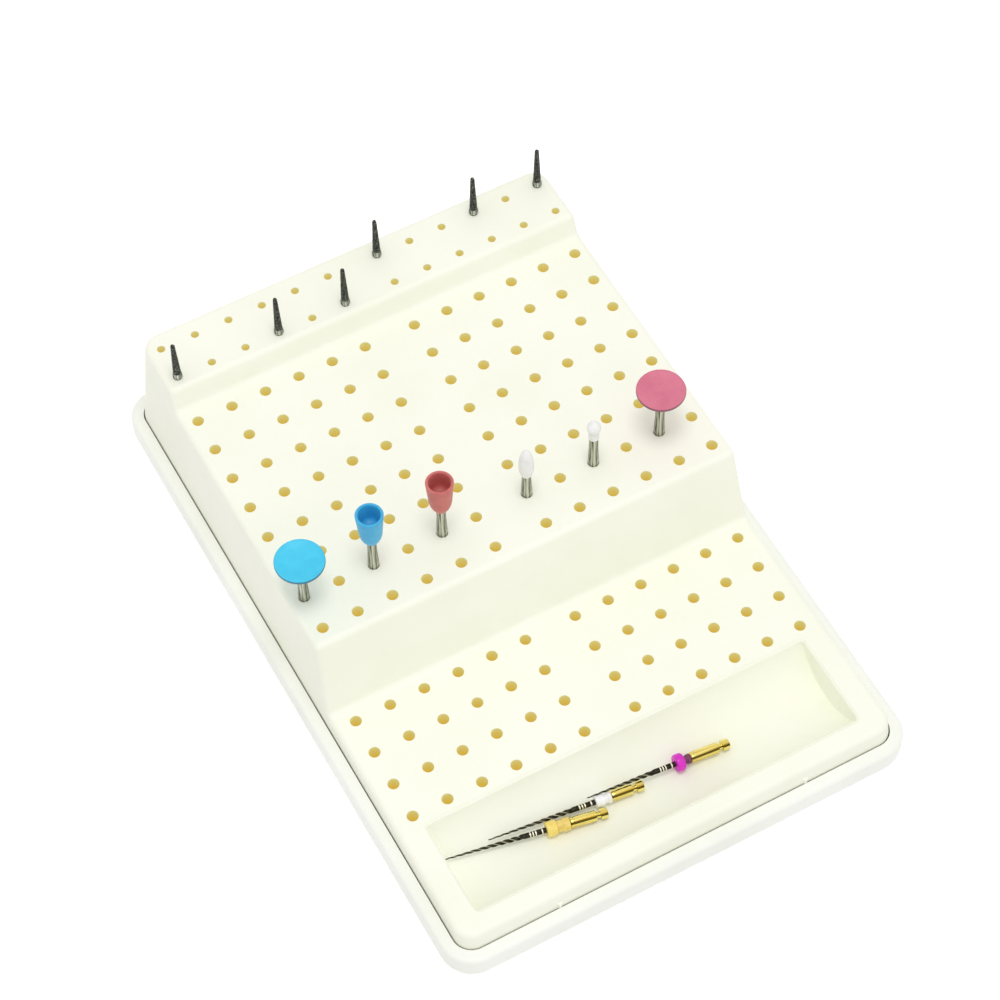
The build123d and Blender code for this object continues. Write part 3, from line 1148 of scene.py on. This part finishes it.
@dataclass
class Mandrel:
    """A latch mandrel with a tapered neck and a spigot, in millimetres above its deck.

    Attributes:
        seat: The height of the head's seat.
    """

    seat: float
    shank: float = 1.175
    neck: float = 1.0
    depth: float = 13.0
    taper_foot: float = 1.5
    taper: float = 4.0
    spigot: float = 0.65
    spigot_length: float = 0.98

    def outline(self) -> list[Point]:
        """The mandrel's outline from its latch end to its spigot."""
        low, wide, seat, foot = -self.depth, self.shank, self.seat, self.taper_foot
        side = [
            (0.0, low), (wide - 0.2, low), (wide, low + 0.2), (wide, low + 1.6), (wide - 0.5, low + 1.62),
            (wide - 0.5, low + 2.48), (wide, low + 2.5), (wide, low + 3.4), (wide, low + 3.44), (wide, 0.1),
            (wide - 0.03, 0.16), (wide - 0.03, 0.24), (wide, 0.3), (wide, foot),
        ]
        side += soften([(wide, foot + 0.05), (self.neck, foot + self.taper), (self.neck, seat - 0.05)], 1.2)
        top = seat + self.spigot_length
        return side + [(self.neck, seat), (self.spigot, seat), (self.spigot, top), (0.0, top)]

    def build(self, name: str, place: Matrix) -> None:
        """Make the mandrel in its socket.

        Args:
            name: The CAD node's name.
            place: Where its socket's mouth is, in millimetres.
        """
        flat = (-self.depth, -self.depth + LATCH_LENGTH, self.shank - LATCH_CUT)
        mesh = Turning(self.outline(), 48, flat=flat).mesh(name)
        settle(mesh, f"{name}_turned", place, name, "mandrel_steel", PALETTE.steel)


class Head(Enum):
    """The kinds of polisher head."""

    DISC = "disc"
    CUP = "cup"
    FLAME = "flame"
    BALL = "ball"


@dataclass
class Polisher:
    """A head on its mandrel in the row at the middle deck's front, in millimetres.

    Attributes:
        name: The stem of its nodes' names.
        column: The column it stands in.
        seat: The height of the head's seat above the deck.
        head: The kind of head.
        finish: The head's finish.
        slot: The record's slot of the head.
    """

    name: str
    column: int
    seat: float
    head: Head
    finish: Finish
    slot: str
    row: int = 6
    socket: float = 0.67
    socket_depth: float = 1.02

    def build(self) -> None:
        """Make the mandrel and the head on it."""
        place = GRID.place(GRID.middle, self.column, self.row)
        Mandrel(self.seat).build(f"{self.name}_mandrel", place)
        outline = getattr(self, "_" + self.head.value)()
        lifted = [(radius, height + self.seat) for radius, height in self._bored(outline)]
        mesh = Turning(lifted, 72).mesh(self.name)
        settle(mesh, f"{self.name}_moulded", place, f"{self.name}_head", self.slot, self.finish)

    def _bored(self, outline: list[Point]) -> list[Point]:
        """Start an outline with the blind hole for the mandrel's spigot."""
        return [(0.0, self.socket_depth), (self.socket, self.socket_depth), (self.socket, 0.0), *outline]

    def _disc(self) -> list[Point]:
        """A dished disc with a thin rolled rim and a short hub."""
        wide, top, dish, steps = 5.0, 1.96, 0.7, 14
        under = [(1.5, 0.0), (1.7, 0.1), (1.85, 0.22), (5.05, 1.16), (5.2, 1.24), (5.25, 1.36), (5.25, 1.82)]
        side = soften([*under, (5.17, 1.95), (5.02, 1.98)], 0.12, 3)
        for share in (1 - step / steps for step in range(1, steps + 1)):
            side.append((wide * share, top - dish * (1 - share**2)))
        return side

    def _cup(self) -> list[Point]:
        """A cup that swells from its foot, with a thin rolled lip and a deep bore."""
        lip, top, floor = 2.95, 9.6, 5.0
        outside = [(1.25, 0.0), (1.38, 0.08), (1.62, 0.5), (1.98, 1.25), (2.25, 2.05), (2.42, 2.9)]
        outside += [(2.55, 4.4), (2.7, 6.2), (2.82, 7.8), (lip - 0.02, 9.2), (lip, 9.42)]
        rim = [(lip - 0.1, top - 0.03), (lip - 0.3, top), (lip - 0.52, top - 0.03), (lip - 0.62, 9.42)]
        inside = [(2.28, 9.0), (2.2, 8.0), (2.1, 7.0), (2.0, 6.2), (1.9, 5.7), (1.65, 5.38)]
        base = [(1.25, 5.16), (0.8, floor + 0.06), (0.4, floor + 0.02), (0.0, floor)]
        return outside + rim + inside + base

    def _flame(self) -> list[Point]:
        """A bullet-shaped stone that swells above its foot and has a rounded nose."""
        belly, length, steps, foot, start, widest = 1.64, 8.4, 26, 1.3, 0.16, 0.28
        side = [(1.14, 0.0), (1.26, 0.05), (foot, start)]
        for step in range(1, steps + 1):
            share = step / steps
            swell = math.sin(math.pi / 2 * min(share / widest, 1.0))
            fall = 1 - (max(0.0, share - widest) / (1 - widest)) ** 2.2
            radius = (foot + (belly - foot) * swell) * math.sqrt(max(fall, 0.0))
            side.append((radius if step < steps else 0.0, start + (length - start) * share))
        return side

    def _ball(self) -> list[Point]:
        """A ball on a short round-edged collar."""
        collar, top, ball, lift = 1.22, 2.3, 1.5, 1.21
        side = soften([(0.9, 0.0), (collar - 0.1, 0.0), (collar, top), (0.85, top)], 0.25, 4)
        return side + nose(ball, top + lift, -math.asin(lift / ball), 20)


@dataclass(frozen=True)
class Trough:
    """The scooped trough that the files lie in, in millimetres."""

    centre: float = -59.8
    width: float = 22.1
    depth: float = 8.0
    rim: float = 11.5
    rest_gap: float = 0.03

    def rest(self, y: float, radius: float) -> float:
        """Height of the centre of something round that rests on the trough's surface.

        Args:
            y: Its place across the trough.
            radius: Its radius.

        Returns:
            The height.
        """
        scoop = ((self.width / 2) ** 2 + self.depth**2) / (2 * self.depth)
        reach = scoop - radius - self.rest_gap
        return self.rim - self.depth + scoop - math.sqrt(reach**2 - (y - self.centre) ** 2)


TROUGH = Trough()


@dataclass
class RotaryFile:
    """A file that lies in the trough on its stopper and the end of its handle, in millimetres.

    Attributes:
        name: The stem of its nodes' names.
        lay: The stopper's place along and across the block, and the heading of the handle in degrees.
        blade: The blade's length from its tip to the stopper.
        stopper: The stopper's diameter and length.
        band: The colour band's diameter and length.
        handle: The handle's length.
        silicone: The stopper's finish.
        enamel: The band's finish.
    """

    name: str
    lay: tuple[float, float, float]
    blade: float
    stopper: Point
    band: Point
    handle: float
    silicone: Finish
    enamel: Finish
    tip_radius: float = 0.14
    root_radius: float = 0.575
    root_length: float = 4.4
    pitch: float = 5.2
    shank: float = 1.175
    play: float = 0.02
    socket: float = 2.0

    def place(self) -> Matrix:
        """Where the file's axis lies, from its tip along +Z."""
        x, y, heading = self.lay
        reach = self.stopper[1] / 2 + self.band[1] + self.handle
        end = y + reach * math.sin(math.radians(heading))
        low = TROUGH.rest(y, self.stopper[0] / 2)
        climb = math.asin((TROUGH.rest(end, self.shank) - low) / reach)
        turn = Matrix.Rotation(math.radians(heading), 4, "Z") @ Matrix.Rotation(math.pi / 2 - climb, 4, "Y")
        back = Matrix.Translation((0, 0, -self.blade - self.stopper[1] / 2))
        return Matrix.Translation((x, y, low)) @ turn @ back

    def build(self, tree: FlutedBlade) -> None:
        """Make the file's four pieces.

        Args:
            tree: The tree that sweeps blades.
        """
        place = self.place()
        stem = f"{self.name}_file"
        settle(self._blade(tree), f"{stem}_fluted_blade", place, f"{stem}_blade", "file_steel")
        start = self.blade
        ring = Turning(self._stopper(start), 64, ring=True).mesh(stem)
        settle(ring, f"{stem}_soft_stopper", place, f"{stem}_stopper", f"{self.name}_silicone", self.silicone)
        start += self.stopper[1]
        band = Turning(self._band(start), 56, ring=True).mesh(stem)
        slot = "maroon_band" if self.name == "magenta" else f"{self.name}_band"
        settle(band, f"{stem}_enamel_band", place, f"{stem}_band", slot, self.enamel)
        start += self.band[1]
        flat = (start + self.handle - LATCH_LENGTH, start + self.handle, self.shank - LATCH_CUT)
        handle = Turning(self._handle(start), 56, flat=flat).mesh(stem)
        settle(handle, f"{stem}_gilt_handle", place, f"{stem}_handle", "gilt_brass", PALETTE.gilt)

    def _blade(self, tree: FlutedBlade) -> bpy.types.Mesh:
        """Sweep the blade and its root."""
        marks = tuple(self.blade - away for away in (0.9, 2.3, 2.9, 3.5))
        steel = FlutedSteel(
            f"{self.name}_blade_steel", tone(60, 58, 45), tone(20, 19, 13), 0.28, 0.15, 0.9,
            # The edge colour is painted highlights on the cutting edges.
            edge=tone(150, 146, 118), mark=tone(236, 232, 208), marks=marks, mark_width=0.26,
        )
        blade = tree.run(bpy.data.meshes.new(self.name), {
            "Fluted length": self.blade - self.root_length,
            "Whole length": self.blade + self.stopper[1] + self.band[1] + self.socket,
            "Tip radius": self.tip_radius,
            "Root radius": self.root_radius,
            "Flute pitch": self.pitch,
            "Flute depth": 0.42,
            "Steps": 190,
            "Sides": 36,
            "Finish": steel.make(),
        })
        return smooth(blade)

    def _stopper(self, start: float) -> list[Point]:
        """A soft ring with rounded edges and a shallow dish round its hole."""
        wide, long, hole = self.stopper[0] / 2, self.stopper[1], self.root_radius + self.play
        inner = wide * 0.52
        corners = [(hole, 0.0), (inner, 0.0), (wide * 0.94, 0.0), (wide, long * 0.24), (wide, long * 0.76)]
        corners += [(wide * 0.94, long), (inner, long), (inner - 0.1, long * 0.94), (hole, long * 0.94)]
        return [(radius, start + height) for radius, height in soften(corners, long * 0.2, 5)]

    def _band(self, start: float) -> list[Point]:
        """A ring that widens towards the handle, with a turned groove."""
        wide, long, hole = self.band[0] / 2, self.band[1], self.root_radius + self.play
        corners = [
            (hole, 0.0), (wide * 0.82, 0.0), (wide * 0.86, 0.12), (wide * 0.86, long * 0.4),
            (wide, long * 0.52), (wide, long - 0.1), (wide - 0.08, long), (hole, long),
        ]
        return [(radius, start + height) for radius, height in soften(corners, 0.08, 3)]

    def _handle(self, start: float) -> list[Point]:
        """A latch handle from the bored end to the latch."""
        wide, end, hole = self.shank, start + self.handle, self.root_radius + self.play
        floor, groove = start + self.socket + self.play, end - 1.6
        return [
            (0.0, floor), (hole, floor), (hole, start), (wide - 0.25, start), (wide - 0.05, start + 0.2),
            (wide, start + 0.3), (wide, start + 0.75), (wide - 0.06, start + 0.8),
            (wide - 0.06, start + 0.92), (wide, start + 0.98), (wide, end - 3.44), (wide, end - 3.4),
            (wide, groove - 0.92), (wide - 0.5, groove - 0.88), (wide - 0.5, groove - 0.02),
            (wide, groove + 0.02), (wide, end - 0.2), (wide - 0.06, end - 0.07),
            (wide - 0.2, end), (0.0, end),
        ]


@dataclass
class Studio:
    """The floor, lamps, sky and camera.

    Attributes:
        stand: Where the camera stands, in millimetres.
        right: The picture's rightward direction.
        up: The picture's upward direction.
        lens: The focal length on a sensor 36 mm wide.
        lamps: Each lamp's place and side in metres, and its power in watts.
        sky: How bright the sky's light is. The camera sees it as one.
        floor_reach: How far the floor reaches from the middle, in metres.
        floor_drop: How far it lies under the block, in metres.
        floor_tone: Its grey.
        floor_glow: How much it glows for the camera.
    """

    stand: tuple[float, float, float] = (-159.27, -305.84, 555.30)
    right: tuple[float, float, float] = (0.87695, -0.48037, -0.01451)
    up: tuple[float, float, float] = (0.40799, 0.72819, 0.55072)
    lens: float = 108.48
    lamps: tuple[tuple[str, tuple[float, float, float], float, float], ...] = (
        ("window", (-0.05, -0.12, 0.9), 0.26, 1.9), ("fill", (0.1, -0.8, 0.55), 0.6, 0.5),
    )
    sky: float = 0.77
    floor_reach: float = 1.6
    floor_drop: float = 0.0002
    floor_tone: float = 0.85
    floor_glow: float = 0.45

    def build(self) -> None:
        """Set up everything round the object."""
        self._camera()
        self._floor()
        self._sky()
        for lamp in self.lamps:
            self._lamp(*lamp)
        bpy.context.scene.view_settings.view_transform = "Standard"

    def _camera(self) -> None:
        """Stand the camera where the photograph was taken from."""
        camera = bpy.data.cameras.new("photograph")
        camera.lens, camera.sensor_width = self.lens, 36.0
        camera.clip_start, camera.clip_end = 0.01, 20.0
        right, up = Vector(self.right).normalized(), Vector(self.up).normalized()
        back = right.cross(up).normalized()
        turn = Matrix((right, back.cross(right).normalized(), back)).transposed().to_4x4()
        stand = enter("photograph", camera)
        stand.matrix_world = Matrix.Translation(Vector(self.stand) * MM) @ turn
        bpy.context.scene.camera = stand

    def _floor(self) -> None:
        """Lay a pale floor that the camera sees as white except where it is shaded."""
        mesh = bpy.data.meshes.new("floor")
        signs = ((-1, -1), (1, -1), (1, 1), (-1, 1))
        corners = [(x * self.floor_reach, y * self.floor_reach, -self.floor_drop) for x, y in signs]
        mesh.from_pydata(corners, [], [(0, 1, 2, 3)])
        pale = Surface("pale_floor")
        pale.paint({
            "Base Color": solid((self.floor_tone,) * 3),
            "Roughness": 0.9,
            "Specular IOR Level": 0.0,
            "Emission Color": solid((1, 1, 1)),
            "Emission Strength": self._seen(pale, self.floor_glow),
        })
        mesh.materials.append(pale.material)
        enter("floor", mesh)

    @staticmethod
    def _seen(wires: Wiring, strength: float) -> Socket:
        """A strength for rays that come from the camera, a reflection or a view through glass."""
        path = wires.add("ShaderNodeLightPath").outputs
        seen = wires.math("MAXIMUM", path["Is Camera Ray"], path["Is Glossy Ray"])
        return wires.times(wires.math("MAXIMUM", seen, path["Is Transmission Ray"]), strength)

    def _sky(self) -> None:
        """Light the scene evenly and show white behind it."""
        world = bpy.data.worlds.new("studio")
        world.use_nodes = True
        bpy.context.scene.world = world
        wires = Wiring(world.node_tree)
        backdrop = world.node_tree.nodes["Background"].inputs
        wires.feed(backdrop["Color"], solid((1, 1, 1)))
        wires.feed(backdrop["Strength"], wires.spread(self._seen(wires, 1.0), 0, 1, self.sky, 1.0))

    @staticmethod
    def _lamp(name: str, place: tuple[float, float, float], size: float, power: float) -> None:
        """Hang a square lamp that faces the block.

        Args:
            name: The lamp's name.
            place: Where it hangs, in metres.
            size: Its side, in metres.
            power: Its power, in watts.
        """
        lamp = bpy.data.lights.new(name, "AREA")
        lamp.size, lamp.energy = size, power
        holder = enter(name, lamp)
        holder.location = place
        holder.rotation_euler = (-Vector(place)).to_track_quat("-Z", "Y").to_euler()


def polishers() -> list[Polisher]:
    """The six polishers from left to right."""
    return [
        Polisher("blue_disc", 0, 12.0, Head.DISC, PALETTE.blue, "blue_rubber"),
        Polisher("blue_cup", 2, 9.2, Head.CUP, PALETTE.blue_cup, "blue_rubber"),
        Polisher("terracotta_cup", 4, 9.2, Head.CUP, PALETTE.terracotta, "terracotta_rubber"),
        Polisher("flame_stone", 6, 7.4, Head.FLAME, PALETTE.stone, "white_stone"),
        Polisher("ball_stone", 8, 9.2, Head.BALL, PALETTE.stone, "white_stone"),
        Polisher("pink_disc", 10, 13.4, Head.DISC, PALETTE.pink, "pink_rubber"),
    ]


def files() -> list[RotaryFile]:
    """The three files from right to left."""
    return [
        RotaryFile(
            "magenta", (9.1, -58.8, -3.8), 20.2, (3.8, 1.8), (2.2, 1.7), 8.9,
            SmoothSilicone("magenta_silicone", tone(228, 26, 206), tone(200, 10, 180), 0.34),
            Lacquer("maroon_enamel", tone(122, 18, 84), tone(86, 6, 58), 0.25),
        ),
        RotaryFile(
            "white", (-9.6, -58.3, -6.2), 23.6, (3.0, 1.9), (2.6, 1.6), 7.3,
            SmoothSilicone("white_silicone", tone(250, 250, 250), tone(238, 238, 238), 0.34),
            Lacquer("white_enamel", tone(248, 248, 248), tone(234, 234, 234), 0.25),
        ),
        RotaryFile(
            "yellow", (-21.3, -59.15, -10.2), 22.4, (3.3, 2.2), (2.9, 2.8), 8.2,
            SmoothSilicone("yellow_silicone", tone(248, 224, 128), tone(238, 208, 92), 0.34),
            Lacquer("yellow_enamel", tone(242, 214, 116), tone(222, 190, 78), 0.25),
        ),
    ]


def main() -> None:
    """Build the studio and dress every sub-assembly in order."""
    logging.basicConfig(level=logging.INFO, format="%(message)s")
    Studio().build()
    finish_mouldings()
    DiamondBurs().build()
    for polisher in polishers():
        polisher.build()
    tree = FlutedBlade()
    for rotary in files():
        rotary.build(tree)
    LOG.info("dressed the bur block")


if __name__ == "__main__":
    main()
